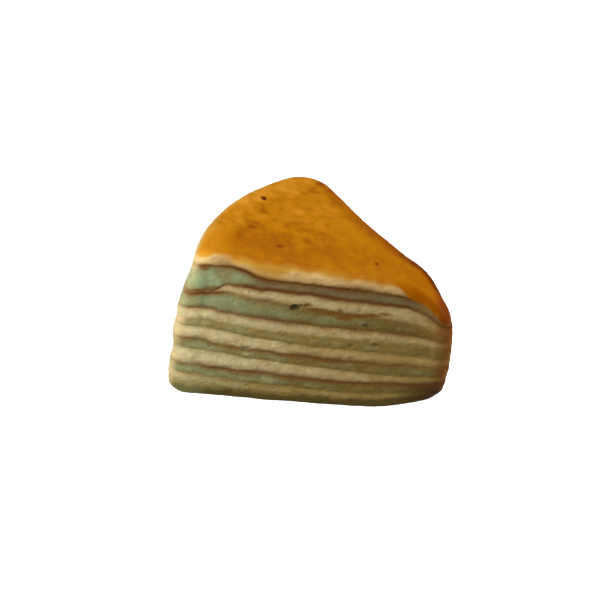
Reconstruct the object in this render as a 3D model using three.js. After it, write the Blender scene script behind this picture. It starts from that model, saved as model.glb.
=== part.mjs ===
// A slice of pandan layer cake: a wedge cut from a round cake, lying on its base.
// Twelve thin layers, green pandan batter and pale cream batter by turns, were baked one on top
// of the other, and the last one browned into a golden crust.
// Millimetres, +Z up. The origin is the bottom centre of the slice's box. +X runs along the front
// cut from the cake's rim to the tip of the wedge, and +Y runs from the front cut to the back.

import * as THREE from 'three';

// Plan of the wedge, seen from above, with the cake's centre as its own zero
const CAKE_RADIUS = 95;
const WEDGE_ANGLE = THREE.MathUtils.degToRad(56.8);
const FRONT_CORNER_RADIUS = 6;
const BACK_CORNER_RADIUS = 13;
const TIP_RADIUS = 7.2;
const BACK_CUT_SAG = 1.4;
const SLICE_MIDDLE = new THREE.Vector2(-57, 28.5);
const CAKE_CENTRE = new THREE.Vector3(50, -36.73, 0);

// Height of the top: a low dome that falls to the middle of the cake, and drops over the tip
const TOP_AT_RIM = 50.6;
const TOP_AT_CENTRE = 42.5;
const DOME_POWER = 1.2;
const TIP_DROP = 12.2;
const TIP_DROP_LENGTH = 17.3;
const TIP_DROP_POWER = 2.15;

// The underside is flat, and curls up a little under the tip
const TIP_LIFT = 5.2;
const TIP_LIFT_LENGTH = 28.3;

// Share of the height where the sinking of the upper levels at the tip gives way to the rising of
// the lower ones
const STILL_LEVEL = 0.5;

// Form of the four sides over their height: lean inwards, rounded top edge, rounded foot, bulge
const RIM_SHRINK = 5.4;
const LEAN = { front: 2.5, tip: 1.2, back: 4.3, rim: 0 };
const SHOULDER_WIDTH = { front: 2.2, tip: 3.2, back: 3.4, rim: 3.1 };
const SHOULDER_DEPTH = { front: 2.6, tip: 6.5, back: 4.2, rim: 3.5 };
const FOOT_RADIUS = { front: 0.6, tip: 3.4, back: 0.6, rim: 1.7 };
const BELLY = { front: 0, tip: 1.7, back: 0, rim: 1.7 };
// Length over which the fall of the top towards an edge is measured
const FALL_LENGTH = 1;

// The layers from the base up: thickness from the rim to the tip at the six places below, and the
// depth of the groove along the seam above the layer
const BROWNED_SEAM = 0.4;
const PLAIN_SEAM = 0.1;
const LAYERS = [
  { name: 'pandan_1', thickness: [3.9, 3.6, 2.9, 2.7, 2.0, 1.5], seam: PLAIN_SEAM },
  { name: 'cream_1', thickness: [3.3, 2.9, 2.6, 2.2, 2.6, 2.5], seam: PLAIN_SEAM },
  { name: 'pandan_2', thickness: [3.4, 3.6, 4.4, 3.8, 3.8, 3.6], seam: BROWNED_SEAM },
  { name: 'cream_2', thickness: [6.0, 6.1, 4.8, 4.7, 3.8, 3.4], seam: PLAIN_SEAM },
  { name: 'pandan_3', thickness: [3.7, 2.5, 3.1, 3.2, 3.8, 5.0], seam: BROWNED_SEAM },
  { name: 'cream_3', thickness: [4.4, 5.0, 4.3, 3.9, 4.0, 3.5], seam: PLAIN_SEAM },
  { name: 'pandan_4', thickness: [2.7, 2.8, 3.1, 3.8, 4.0, 4.2], seam: PLAIN_SEAM },
  { name: 'cream_4', thickness: [3.9, 3.6, 3.8, 3.7, 3.4, 3.3], seam: BROWNED_SEAM },
  { name: 'pandan_5', thickness: [5.2, 6.6, 6.0, 5.2, 4.4, 4.7], seam: BROWNED_SEAM },
  { name: 'cream_5', thickness: [0.8, 3.3, 4.4, 5.4, 5.5, 6.0], seam: BROWNED_SEAM },
  { name: 'pandan_6', thickness: [8.8, 6.1, 3.4, 3.4, 3.5, 2.9], seam: BROWNED_SEAM },
  { name: 'cream_6', thickness: [4.1, 3.6, 6.1, 5.2, 4.6, 3.4], seam: 0 },
];
// Where those thicknesses hold: distance from the cake's centre as a share of its radius
const THICKNESS_PLACES = [0.92, 0.87, 0.74, 0.52, 0.3, 0.145];
// The layers sag at the cake's rim: by this share of the height, starting this far from the centre
const RIM_SAG = 0.045;
const RIM_SAG_START = 0.95;
const RIM_SAG_POWER = 12;
// Uneven pouring: share of a layer's thickness that comes and goes, the length of its waves, and
// the shift of the waves from layer to layer
const WAVE_SHARE = 0.03;
const WAVE_LENGTH_X = 58;
const WAVE_LENGTH_Y = 47;
const WAVE_SHIFT_X = 2.4;
const WAVE_SHIFT_Y = 1.3;
// Space left between one layer and the next
const LAYER_GAP = 0.2;

// Fineness of the mesh
const STEPS = { front: 18, tip: 8, back: 12, backCorner: 6, rim: 12, frontCorner: 5 };
const INNER_RINGS = [0.45, 0.8];
const TOP_RINGS = [0.3, 0.6, 0.8, 0.93];
const WALL_LEVELS = [0.2, 0.8];
const TOP_WALL_LEVELS = [0.35, 0.7, 0.9, 0.97];

const COLOURS = { pandan: 0x8a9468, cream: 0xc4ad7c, crust: 0xb8780f };
const CRUMB_ROUGHNESS = 0.85;
const CRUST_ROUGHNESS = 0.5;

const { clamp, lerp, smoothstep } = THREE.MathUtils;

// The outline in plan, anticlockwise from the front cut: straight cuts joined by arcs
function planStretches() {
  const half = WEDGE_ANGLE / 2;
  const turn = Math.PI / 2 - WEDGE_ANGLE;
  const tip = new THREE.Vector2(-Math.cos(half), Math.sin(half));
  tip.multiplyScalar(TIP_RADIUS / Math.sin(half));
  const front = new THREE.Vector2(-cornerReach(FRONT_CORNER_RADIUS), FRONT_CORNER_RADIUS);
  const back = new THREE.Vector2(-cornerReach(BACK_CORNER_RADIUS), -BACK_CORNER_RADIUS);
  back.rotateAround(new THREE.Vector2(), -WEDGE_ANGLE);
  const outward = new THREE.Vector2(Math.cos(turn), Math.sin(turn));
  const cutStart = tip.clone().addScaledVector(outward, TIP_RADIUS);
  const cutEnd = back.clone().addScaledVector(outward, BACK_CORNER_RADIUS);
  const line = (from, to) => new THREE.LineCurve(from, to);
  const arc = ({ x, y }, radius, from, to) => new THREE.EllipseCurve(x, y, radius, radius, from, to);
  const frontStart = new THREE.Vector2(front.x, 0);
  const frontEnd = new THREE.Vector2(tip.x, 0);
  const cakeCentre = new THREE.Vector2();
  return [
    { curve: line(frontStart, frontEnd), steps: STEPS.front },
    { curve: arc(tip, TIP_RADIUS, -Math.PI / 2, turn), steps: STEPS.tip },
    { curve: line(cutStart, cutEnd), steps: STEPS.back },
    { curve: arc(back, BACK_CORNER_RADIUS, turn, back.angle()), steps: STEPS.backCorner },
    { curve: arc(cakeCentre, CAKE_RADIUS, back.angle(), front.angle()), steps: STEPS.rim },
    { curve: arc(front, FRONT_CORNER_RADIUS, front.angle(), Math.PI * 1.5), steps: STEPS.frontCorner },
  ];
}

// Place of the back cut in the list of stretches
const BACK_CUT_STRETCH = 2;

// How far along a straight cut the centre of a corner arc lies, so that the arc meets the rim
function cornerReach(radius) {
  return Math.sqrt((CAKE_RADIUS - radius) ** 2 - radius ** 2);
}

// The sides' places on the outline, counted in stretches; between two of them sizes blend smoothly
const SIDE_STATIONS = [
  { at: 0, side: 'front' },
  { at: 0.85, side: 'front' },
  { at: 1.5, side: 'tip' },
  { at: 2.5, side: 'back' },
  { at: 2.85, side: 'back' },
  { at: 4.5, side: 'rim' },
  { at: 5.1, side: 'rim' },
];

function aroundSides(place, sizes) {
  const count = SIDE_STATIONS.length;
  const stretches = Object.keys(STEPS).length;
  let next = SIDE_STATIONS.findIndex((station) => station.at > place);
  next = next < 0 ? 0 : next;
  const from = SIDE_STATIONS[(next + count - 1) % count];
  const to = SIDE_STATIONS[next];
  const span = (to.at - from.at + stretches) % stretches;
  const share = ((place - from.at + stretches) % stretches) / span;
  return lerp(sizes[from.side], sizes[to.side], smoothstep(share, 0, 1));
}

// 0 away from the tip, rising to 1 at its end, over the last length of the wedge
function towardsTip(x, y, length) {
  const half = WEDGE_ANGLE / 2;
  const tipEnd = TIP_RADIUS / Math.sin(half) - TIP_RADIUS;
  const fromEnd = x * Math.cos(half) - y * Math.sin(half) + tipEnd;
  return clamp(1 + fromEnd / length, 0, 1);
}

function domeHeight(x, y) {
  const share = Math.min(Math.hypot(x, y) / CAKE_RADIUS, 1);
  return lerp(TOP_AT_RIM, TOP_AT_CENTRE, (1 - share) ** DOME_POWER);
}

// Height of a level inside the slice, from share 0 at the base to 1 at the top. At the tip the
// upper half of the levels sinks with the top, and the lower half rises with the base.
function levelHeight(share, x, y) {
  const drop = TIP_DROP * towardsTip(x, y, TIP_DROP_LENGTH) ** TIP_DROP_POWER;
  const lift = TIP_LIFT * towardsTip(x, y, TIP_LIFT_LENGTH) ** 2;
  const sinking = smoothstep(share, STILL_LEVEL, 1);
  const rising = 1 - smoothstep(share, 0, STILL_LEVEL);
  return share * domeHeight(x, y) - drop * sinking + lift * rising;
}

// Thickness of a layer: blended between the places it is given for, and a little wavy
function layerThickness({ thickness }, order, x, y) {
  const reach = Math.hypot(x, y) / CAKE_RADIUS;
  const even = thickness.reduce((outer, inner, index) =>
    lerp(inner, outer, smoothstep(reach, THICKNESS_PLACES[index], THICKNESS_PLACES[index - 1])),
  );
  const waveX = Math.sin((2 * Math.PI * x) / WAVE_LENGTH_X + WAVE_SHIFT_X * order);
  const waveY = Math.sin((2 * Math.PI * y) / WAVE_LENGTH_Y + WAVE_SHIFT_Y * order * order);
  return even * (1 + WAVE_SHARE * (waveX + waveY));
}

// Height of the seam below a layer, as a share of the slice's height at that place. The base and
// the top keep their place where the seams between them sag.
function seamShare(order, x, y) {
  const thickness = LAYERS.map((layer, index) => layerThickness(layer, index, x, y));
  const sum = (values) => values.reduce((total, value) => total + value, 0);
  const share = sum(thickness.slice(0, order)) / sum(thickness);
  const reach = Math.hypot(x, y) / CAKE_RADIUS;
  const nearRim = clamp((reach - RIM_SAG_START) / (1 - RIM_SAG_START), 0, 1);
  return share - RIM_SAG * nearRim ** 2 * share * (1 - share ** RIM_SAG_POWER);
}

// Share of a quarter ellipse that rounds the top edge. Where the top falls towards the edge, the
// ellipse starts where it is as steep as the top, so that the two join smoothly.
function shoulderShare(edge, outward, width, depth) {
  const inner = edge.clone().addScaledVector(outward, -FALL_LENGTH);
  const fall = (levelHeight(1, inner.x, inner.y) - levelHeight(1, edge.x, edge.y)) / FALL_LENGTH;
  return 1 / Math.hypot(1, (Math.max(fall, 0) * width) / depth);
}

// How far an ellipse's arc of a width has come inwards at a share of its height
function arcInset(width, share) {
  return width * (1 - Math.sqrt(1 - share ** 2));
}

// One upright line on the slice's side: its foot in plan and the form of the side there
function makeStation(curve, share, place) {
  const foot = curve.getPoint(share);
  const along = curve.getTangent(share);
  const outward = new THREE.Vector2(along.y, -along.x);
  if (Math.floor(place) === BACK_CUT_STRETCH) {
    foot.addScaledVector(outward, -BACK_CUT_SAG * (4 * share * (1 - share)) ** 2);
  }
  const lean = aroundSides(place, LEAN);
  const shoulderWidth = aroundSides(place, SHOULDER_WIDTH);
  const shoulderDepth = aroundSides(place, SHOULDER_DEPTH);
  const footRadius = aroundSides(place, FOOT_RADIUS);
  const head = foot.clone().multiplyScalar(1 - RIM_SHRINK / CAKE_RADIUS).addScaledVector(outward, -lean);
  const edge = head.clone().addScaledVector(outward, -shoulderWidth / 2);
  const shoulder = shoulderShare(edge, outward, shoulderWidth, shoulderDepth);
  const brow = head.clone().addScaledVector(outward, -arcInset(shoulderWidth, shoulder));
  const sole = foot.clone().addScaledVector(outward, -footRadius);
  const seams = Array.from({ length: LAYERS.length + 1 }, (_, order) => {
    const level = seamShare(order, foot.x, foot.y);
    const plan = sole.clone().lerp(brow, level);
    return levelHeight(level, plan.x, plan.y);
  });
  return {
    foot,
    outward,
    lean,
    shoulder,
    shoulderWidth,
    shoulderDepth,
    footRadius,
    belly: aroundSides(place, BELLY),
    seams,
  };
}

function makeStations() {
  return planStretches().flatMap(({ curve, steps }, stretch) =>
    Array.from({ length: steps }, (_, step) => makeStation(curve, step / steps, stretch + step / steps)),
  );
}

const stations = makeStations();

// A point on the side at a height, pushed in by the depth of a groove
function wallPoint(station, height, groove) {
  const { foot, outward, lean, shoulder, shoulderWidth, shoulderDepth, footRadius, belly } = station;
  const { seams } = station;
  const base = seams[0];
  const top = seams[LAYERS.length];
  const share = (height - base) / (top - base);
  const intoFoot = clamp(1 - (height - base) / footRadius, 0, 1);
  const intoShoulder = clamp(shoulder - (top - height) / shoulderDepth, 0, 1);
  const inset =
    lean * share +
    arcInset(footRadius, intoFoot) +
    arcInset(shoulderWidth, intoShoulder) -
    belly * 4 * share * (1 - share) +
    groove;
  const shrink = 1 - (RIM_SHRINK * share) / CAKE_RADIUS;
  const plan = foot.clone().multiplyScalar(shrink).addScaledVector(outward, -inset);
  return new THREE.Vector3(plan.x, plan.y, height);
}

// The whole seam below a layer: rings from the wall to the middle of the slice. The layers on
// both sides of it share these rings.
function seamRings(order) {
  const isSeam = order > 0 && order < LAYERS.length;
  const groove = isSeam ? LAYERS[order - 1].seam : 0;
  const wall = stations.map((station) => wallPoint(station, station.seams[order], groove));
  const shares = order === LAYERS.length ? TOP_RINGS : INNER_RINGS;
  const inner = shares.map((share) => wall.map((point) => seamPoint(order, point, share)));
  return { wall, inner, middle: seamPoint(order, wall[0], 0) };
}

// A point on a seam inside the slice, at a share of the way from its middle to the wall
function seamPoint(order, wall, share) {
  const plan = SLICE_MIDDLE.clone().lerp(new THREE.Vector2(wall.x, wall.y), share);
  const level = seamShare(order, plan.x, plan.y);
  return new THREE.Vector3(plan.x, plan.y, levelHeight(level, plan.x, plan.y));
}

function raised(points, rise) {
  return points.map((point) => new THREE.Vector3(point.x, point.y, point.z + rise));
}

// The rings of points round one layer, from the middle of its underside, up its wall and back to
// the middle of its upper side
function layerRings(order) {
  const isTop = order === LAYERS.length - 1;
  const lowRise = order === 0 ? 0 : LAYER_GAP / 2;
  const highRise = isTop ? 0 : -LAYER_GAP / 2;
  const low = seamRings(order);
  const high = seamRings(order + 1);
  const levels = isTop ? TOP_WALL_LEVELS : WALL_LEVELS;
  const walls = levels.map((level) =>
    stations.map((station) => {
      const from = station.seams[order] + lowRise;
      const to = station.seams[order + 1] + highRise;
      return wallPoint(station, lerp(from, to, level), 0);
    }),
  );
  return {
    rings: [
      ...low.inner.map((ring) => raised(ring, lowRise)),
      raised(low.wall, lowRise),
      ...walls,
      raised(high.wall, highRise),
      ...high.inner.map((ring) => raised(ring, highRise)).reverse(),
    ],
    overCount: high.inner.length,
    lowMiddle: raised([low.middle], lowRise)[0],
    highMiddle: raised([high.middle], highRise)[0],
  };
}

// Closed skin over the rings: quads between neighbouring rings, and a fan at each end. The quads
// on the upper side are split along the same diagonal as those of the layer that lies on them.
function skinRings({ rings, overCount, lowMiddle, highMiddle }) {
  const around = stations.length;
  const points = [...rings.flat(), lowMiddle, highMiddle];
  const lowIndex = points.length - 2;
  const highIndex = points.length - 1;
  const lastRing = rings.length - 1;
  const faces = [];
  for (let step = 0; step < around; step += 1) {
    const next = (step + 1) % around;
    faces.push(lowIndex, next, step);
    for (let ring = 0; ring < lastRing; ring += 1) {
      const below = ring * around;
      const above = below + around;
      if (ring < lastRing - overCount) {
        faces.push(below + step, below + next, above + next);
        faces.push(below + step, above + next, above + step);
      } else {
        faces.push(below + step, below + next, above + step);
        faces.push(below + next, above + next, above + step);
      }
    }
    faces.push(lastRing * around + step, lastRing * around + next, highIndex);
  }
  const geometry = new THREE.BufferGeometry().setFromPoints(points);
  geometry.setIndex(faces);
  geometry.computeVertexNormals();
  return geometry;
}

function layerMaterial(name, isTop) {
  const crumb = name.startsWith('pandan') ? COLOURS.pandan : COLOURS.cream;
  return new THREE.MeshStandardMaterial({
    color: isTop ? COLOURS.crust : crumb,
    roughness: isTop ? CRUST_ROUGHNESS : CRUMB_ROUGHNESS,
    metalness: 0,
  });
}

const slice = new THREE.Group();
LAYERS.forEach(({ name }, order) => {
  const isTop = order === LAYERS.length - 1;
  const layer = new THREE.Mesh(skinRings(layerRings(order)), layerMaterial(name, isTop));
  layer.name = name;
  slice.add(layer);
});
slice.position.copy(CAKE_CENTRE);

export default slice;
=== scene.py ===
import itertools
import math

import bpy
import numpy as np
from mathutils import Matrix, Vector


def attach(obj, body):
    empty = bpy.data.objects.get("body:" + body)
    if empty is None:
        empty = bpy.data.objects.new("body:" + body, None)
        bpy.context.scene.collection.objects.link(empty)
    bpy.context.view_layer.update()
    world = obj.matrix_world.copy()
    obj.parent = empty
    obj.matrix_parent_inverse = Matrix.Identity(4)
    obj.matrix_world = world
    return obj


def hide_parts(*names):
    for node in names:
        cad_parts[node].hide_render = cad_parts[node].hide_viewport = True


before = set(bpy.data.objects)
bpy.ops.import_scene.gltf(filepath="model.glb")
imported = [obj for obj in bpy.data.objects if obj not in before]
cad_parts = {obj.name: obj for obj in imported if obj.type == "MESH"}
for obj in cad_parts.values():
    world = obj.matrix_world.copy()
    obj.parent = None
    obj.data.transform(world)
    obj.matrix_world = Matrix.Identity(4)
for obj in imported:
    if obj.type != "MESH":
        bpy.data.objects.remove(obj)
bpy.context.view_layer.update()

# Pandan layers
# Six thin layers of sponge batter, green from the juice of pandan leaves. Each was poured over the one
# below and baked under a hot grill, so its upper skin browned here and there, and a knife then cut the
# wedge from the round cake. Sizes are in millimetres, with the cake's centre as zero in plan.

MM = 0.001
CAKE_CENTRE = np.array([50.0, -36.73, 0.0])
CAKE_RADIUS = 95.0
WEDGE_ANGLE = math.radians(56.8)
FRONT_CORNER_RADIUS = 6.0
BACK_CORNER_RADIUS = 13.0
TIP_RADIUS = 7.2
BACK_CUT_SAG = 1.4
SLICE_MIDDLE = np.array([-57.0, 28.5])

# The dome of the top, and how the tip's top sinks and its base rises round a level that stays still
TOP_AT_RIM = 50.6
TOP_AT_CENTRE = 42.5
DOME_POWER = 1.2
TIP_DROP = 12.2
TIP_DROP_LENGTH = 17.3
TIP_DROP_POWER = 2.15
TIP_LIFT = 5.2
TIP_LIFT_LENGTH = 28.3
STILL_LEVEL = 0.5

# The form of the four sides over their height, and the places on the outline where it holds
RIM_SHRINK = 5.4
LEAN = {"front": 2.5, "tip": 1.2, "back": 4.3, "rim": 0.0}
SHOULDER_WIDTH = {"front": 2.2, "tip": 3.2, "back": 3.4, "rim": 3.1}
SHOULDER_DEPTH = {"front": 2.6, "tip": 6.5, "back": 4.2, "rim": 3.5}
FOOT_RADIUS = {"front": 0.6, "tip": 3.4, "back": 0.6, "rim": 1.7}
BELLY = {"front": 0.0, "tip": 1.7, "back": 0.0, "rim": 1.7}
FALL_LENGTH = 1.0
RIM_MIDDLE = 4.5
SIDE_PLACES = [0.0, 0.85, 1.5, 2.5, 2.85, RIM_MIDDLE, 5.1, 6.0]
SIDE_ORDER = ["front", "front", "tip", "back", "back", "rim", "rim", "front"]

# The layers from the base up: thickness from the rim to the tip, then, each at the rim, in the middle and at
# the tip, how far the skin on top of the layer is browned, how fresh the sponge's colour is, which falls
# towards the tip partly as painted shade of the end turned from the key light, and the share of the other
# batter in it
LAYERS = {
    "pandan_1": ([3.9, 3.6, 2.9, 2.7, 2.0, 1.5], (0.10, 0.10, 0.20), (0.50, 0.25, 0.05), (0.00, 0.00, 0.00)),
    "cream_1": ([3.3, 2.9, 2.6, 2.2, 2.6, 2.5], (0.05, 0.05, 0.05), (0.65, 0.40, 0.05), (0.28, 0.50, 0.78)),
    "pandan_2": ([3.4, 3.6, 4.4, 3.8, 3.8, 3.6], (0.55, 0.90, 0.90), (0.68, 0.45, 0.00), (0.08, 0.06, 0.00)),
    "cream_2": ([6.0, 6.1, 4.8, 4.7, 3.8, 3.4], (0.05, 0.05, 0.05), (0.88, 0.84, 0.25), (0.00, 0.00, 0.10)),
    "pandan_3": ([3.7, 2.5, 3.1, 3.2, 3.8, 5.0], (0.70, 0.72, 0.45), (0.60, 0.36, 0.10), (0.10, 0.12, 0.05)),
    "cream_3": ([4.4, 5.0, 4.3, 3.9, 4.0, 3.5], (0.05, 0.05, 0.05), (0.90, 0.74, 0.10), (0.00, 0.00, 0.00)),
    "pandan_4": ([2.7, 2.8, 3.1, 3.8, 4.0, 4.2], (0.05, 0.05, 0.05), (0.60, 0.32, 0.05), (0.42, 0.25, 0.12)),
    "cream_4": ([3.9, 3.6, 3.8, 3.7, 3.4, 3.3], (0.75, 0.65, 0.35), (0.88, 0.82, 0.40), (0.00, 0.00, 0.00)),
    "pandan_5": ([5.2, 6.6, 6.0, 5.2, 4.4, 4.7], (0.95, 0.45, 0.05), (0.80, 0.45, 0.00), (0.00, 0.02, 0.12)),
    "cream_5": ([0.8, 3.3, 4.4, 5.4, 5.5, 6.0], (0.90, 1.00, 0.90), (0.70, 0.65, 0.45), (0.04, 0.04, 0.04)),
    "pandan_6": ([8.8, 6.1, 3.4, 3.4, 3.5, 2.9], (1.00, 1.00, 0.00), (0.92, 0.28, 0.20), (0.00, 0.06, 0.75)),
    "cream_6": ([4.1, 3.6, 6.1, 5.2, 4.6, 3.4], (0.00, 0.00, 0.00), (1.00, 0.85, 0.50), (0.00, 0.00, 0.00)),
}
# Where these hold, as shares of the way from the cake's centre to its rim
THICKNESS_PLACES = [0.92, 0.87, 0.74, 0.52, 0.30, 0.145]
FRESH_PLACES = [0.25, 0.72, 0.92]
SKIN_PLACES = [0.17, 0.23, 0.87, 0.93]
# How the seams sag near the rim, and the waves that a layer's thickness comes and goes in
RIM_SAG = 0.045
RIM_SAG_START = 0.95
RIM_SAG_POWER = 12
WAVE_SHARE = 0.03
WAVE_LENGTHS = np.array([58.0, 47.0])
WAVE_SHIFTS = (2.4, 1.3)


def smooth(value, low, high):
    """0 up to low, 1 from high on, and 3t^2 - 2t^3 between them."""
    share = np.clip((value - low) / (high - low), 0.0, 1.0)
    return share * share * (3.0 - 2.0 * share)


def within(value, places):
    """1 between two places, rising to it and falling from it by smoothstep."""
    start, whole, end, gone = places
    return smooth(value, start, whole) * (1 - smooth(value, end, gone))


def corner_reach(radius):
    """How far from the cake's centre, along a cut, a corner arc's centre lies to meet the rim."""
    return math.sqrt((CAKE_RADIUS - radius) ** 2 - radius**2)


def wedge_outline(step):
    """The wedge's outline in plan, anticlockwise, as points, outward directions and places.

    Front cut, tip arc, back cut, back corner arc, rim arc, front corner arc. A place is the number of
    the stretch plus the share of it that is behind the point. The back cut sags in by (4s(1-s))^2.
    """
    half = WEDGE_ANGLE / 2
    turn = math.pi / 2 - WEDGE_ANGLE
    tip = TIP_RADIUS / math.sin(half) * np.array([-math.cos(half), math.sin(half)])
    front = np.array([-corner_reach(FRONT_CORNER_RADIUS), FRONT_CORNER_RADIUS])
    along_back = np.array([-math.cos(WEDGE_ANGLE), math.sin(WEDGE_ANGLE)])
    out_back = np.array([math.cos(turn), math.sin(turn)])
    back = along_back * corner_reach(BACK_CORNER_RADIUS) - out_back * BACK_CORNER_RADIUS
    front_turn = math.atan2(front[1], front[0])
    back_turn = math.atan2(back[1], back[0])
    down = np.array([0.0, -1.0])

    def line(start, end, outward):
        count = round(np.linalg.norm(end - start) / step)
        share = np.arange(count)[:, None] / count
        return start + (end - start) * share, np.repeat(outward[None], count, axis=0)

    def arc(centre, radius, start, end):
        count = round(radius * (end - start) / step)
        angle = start + (end - start) * np.arange(count) / count
        outward = np.stack([np.cos(angle), np.sin(angle)], axis=-1)
        return centre + radius * outward, outward

    stretches = [
        line(front + FRONT_CORNER_RADIUS * down, tip + TIP_RADIUS * down, down),
        arc(tip, TIP_RADIUS, -math.pi / 2, turn),
        line(tip + TIP_RADIUS * out_back, back + BACK_CORNER_RADIUS * out_back, out_back),
        arc(back, BACK_CORNER_RADIUS, turn, back_turn),
        arc(np.zeros(2), CAKE_RADIUS, back_turn, front_turn),
        arc(front, FRONT_CORNER_RADIUS, front_turn, 1.5 * math.pi),
    ]
    points = np.concatenate([p for p, _ in stretches])
    outward = np.concatenate([n for _, n in stretches])
    place = np.concatenate([at + np.arange(len(p)) / len(p) for at, (p, _) in enumerate(stretches)])
    share = np.where((place > 2) & (place < 3), place - 2, 0.0)
    return points - outward * (BACK_CUT_SAG * (4 * share * (1 - share)) ** 2)[:, None], outward, place


def around_sides(place, sizes):
    """A size of the sides blended by smoothstep between the places of the outline where it holds."""
    index = np.clip(np.searchsorted(SIDE_PLACES, place, side="right") - 1, 0, len(SIDE_PLACES) - 2)
    places = np.array(SIDE_PLACES)
    values = np.array([sizes[side] for side in SIDE_ORDER])
    share = smooth(place, places[index], places[index + 1])
    return values[index] * (1 - share) + values[index + 1] * share


def towards_tip(x, y, length):
    """0 away from the tip, rising evenly to 1 at its end over the last length of the wedge."""
    half = WEDGE_ANGLE / 2
    tip_end = TIP_RADIUS / math.sin(half) - TIP_RADIUS
    return np.clip(1 + (x * math.cos(half) - y * math.sin(half) + tip_end) / length, 0.0, 1.0)


def level_height(share, x, y):
    """Height of a level, from share 0 at the base to 1 at the top: a share of the dome's height.

    At the tip the levels above the still one sink with the top, and those below it rise with the base.
    """
    reach = np.minimum(np.hypot(x, y) / CAKE_RADIUS, 1.0)
    dome = TOP_AT_RIM + (TOP_AT_CENTRE - TOP_AT_RIM) * (1 - reach) ** DOME_POWER
    drop = TIP_DROP * towards_tip(x, y, TIP_DROP_LENGTH) ** TIP_DROP_POWER
    lift = TIP_LIFT * towards_tip(x, y, TIP_LIFT_LENGTH) ** 2
    sunk = share * dome - drop * smooth(share, STILL_LEVEL, 1)
    return sunk + lift * (1 - smooth(share, 0, STILL_LEVEL))


def seam_shares(x, y):
    """The seams from the base to the top as shares of the height: the layers' thicknesses added up.

    A thickness is blended by smoothstep between the distances from the cake's centre that it is given
    for, and comes and goes a little in two waves. Near the rim the seams between base and top sag.
    """
    reach = np.hypot(x, y) / CAKE_RADIUS
    layers = []
    for order, (thickness, *_) in enumerate(LAYERS.values()):
        even = np.full_like(reach, thickness[0])
        for index in range(1, len(thickness)):
            share = smooth(reach, THICKNESS_PLACES[index], THICKNESS_PLACES[index - 1])
            even = thickness[index] + (even - thickness[index]) * share
        wave_x = np.sin(2 * math.pi * x / WAVE_LENGTHS[0] + WAVE_SHIFTS[0] * order)
        wave_y = np.sin(2 * math.pi * y / WAVE_LENGTHS[1] + WAVE_SHIFTS[1] * order**2)
        layers.append(even * (1 + WAVE_SHARE * (wave_x + wave_y)))
    height = np.cumsum([np.zeros_like(reach), *layers], axis=0)
    share = height / height[-1]
    near_rim = np.clip((reach - RIM_SAG_START) / (1 - RIM_SAG_START), 0.0, 1.0)
    return share - RIM_SAG * near_rim**2 * share * (1 - share**RIM_SAG_POWER)


def arc_inset(width, share):
    """How far in an ellipse's arc has come at a share s of its height: width * (1 - root(1 - s^2))."""
    return width * (1 - np.sqrt(1 - share**2))


class Side:
    """The side of the slice: for each upright line its foot in plan, its form and its seams."""

    def __init__(self, step):
        self.foot, self.outward, self.place = wedge_outline(step)
        self.reach = np.hypot(*self.foot.T) / CAKE_RADIUS
        self.lean = around_sides(self.place, LEAN)
        self.shoulder_width = around_sides(self.place, SHOULDER_WIDTH)
        self.shoulder_depth = around_sides(self.place, SHOULDER_DEPTH)
        self.foot_radius = around_sides(self.place, FOOT_RADIUS)
        self.belly = around_sides(self.place, BELLY)
        gaps = np.linalg.norm(np.roll(self.foot, -1, axis=0) - self.foot, axis=1)
        along = np.cumsum(gaps) - gaps
        self.along = np.where(self.place >= RIM_MIDDLE, along - gaps.sum(), along)
        head = self.foot * (1 - RIM_SHRINK / CAKE_RADIUS) - self.outward * self.lean[:, None]
        self.shoulder = self.shoulder_share(head - self.outward * (self.shoulder_width / 2)[:, None])
        brow = head - self.outward * arc_inset(self.shoulder_width, self.shoulder)[:, None]
        sole = self.foot - self.outward * self.foot_radius[:, None]
        shares = seam_shares(self.foot[:, 0], self.foot[:, 1])
        plan = sole + (brow - sole) * shares[..., None]
        self.seams = level_height(shares, plan[..., 0], plan[..., 1])

    def shoulder_share(self, edge):
        """The share of a quarter ellipse that rounds the top edge.

        It is 1 / root(1 + (fall * width / depth)^2): where the top falls towards the edge, the ellipse
        starts where it is as steep as the top.
        """
        inner = edge - FALL_LENGTH * self.outward
        top = np.ones(len(edge))
        fall = (level_height(top, *inner.T) - level_height(top, *edge.T)) / FALL_LENGTH
        return 1 / np.hypot(1, np.clip(fall, 0.0, None) * self.shoulder_width / self.shoulder_depth)

    def points(self, height, push):
        """Points on the side at heights, pushed outwards.

        The side leans in with the height, is rounded at the foot and at the shoulder by arcs of
        ellipses, bulges by 4s(1-s) and shrinks towards the cake's centre as it rises.
        """
        base, top = self.seams[0], self.seams[-1]
        share = (height - base) / (top - base)
        into_foot = np.clip(1 - (height - base) / self.foot_radius, 0.0, 1.0)
        into_shoulder = np.clip(self.shoulder - (top - height) / self.shoulder_depth, 0.0, 1.0)
        inset = self.lean * share - self.belly * 4 * share * (1 - share) - push
        inset = inset + arc_inset(self.foot_radius, into_foot)
        inset = inset + arc_inset(self.shoulder_width, into_shoulder)
        shrink = 1 - RIM_SHRINK * share / CAKE_RADIUS
        plan = self.foot * shrink[..., None] - self.outward * inset[..., None]
        return np.concatenate([plan, height[..., None]], axis=-1)


def scatter(cells, seed):
    """A random number from 0 to 1 for each whole-numbered cell of space, the same on every run.

    The cell's three numbers and the seed are mixed by large factors and by shifts.
    """
    whole = cells.astype(np.int64).astype(np.uint32)
    mixed = whole[..., 0] * 73856093 ^ whole[..., 1] * 19349663 ^ whole[..., 2] * 83492791
    mixed = (mixed ^ np.uint32(seed * 7919)) * 2246822519
    mixed = (mixed ^ (mixed >> 13)) * 3266489917
    return (mixed ^ (mixed >> 16)) / 2.0**32


GRID_TURN = np.array(Matrix.Rotation(0.7, 3, "X") @ Matrix.Rotation(0.5, 3, "Y"))
LUMP_HEIGHT = 2.2


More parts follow.
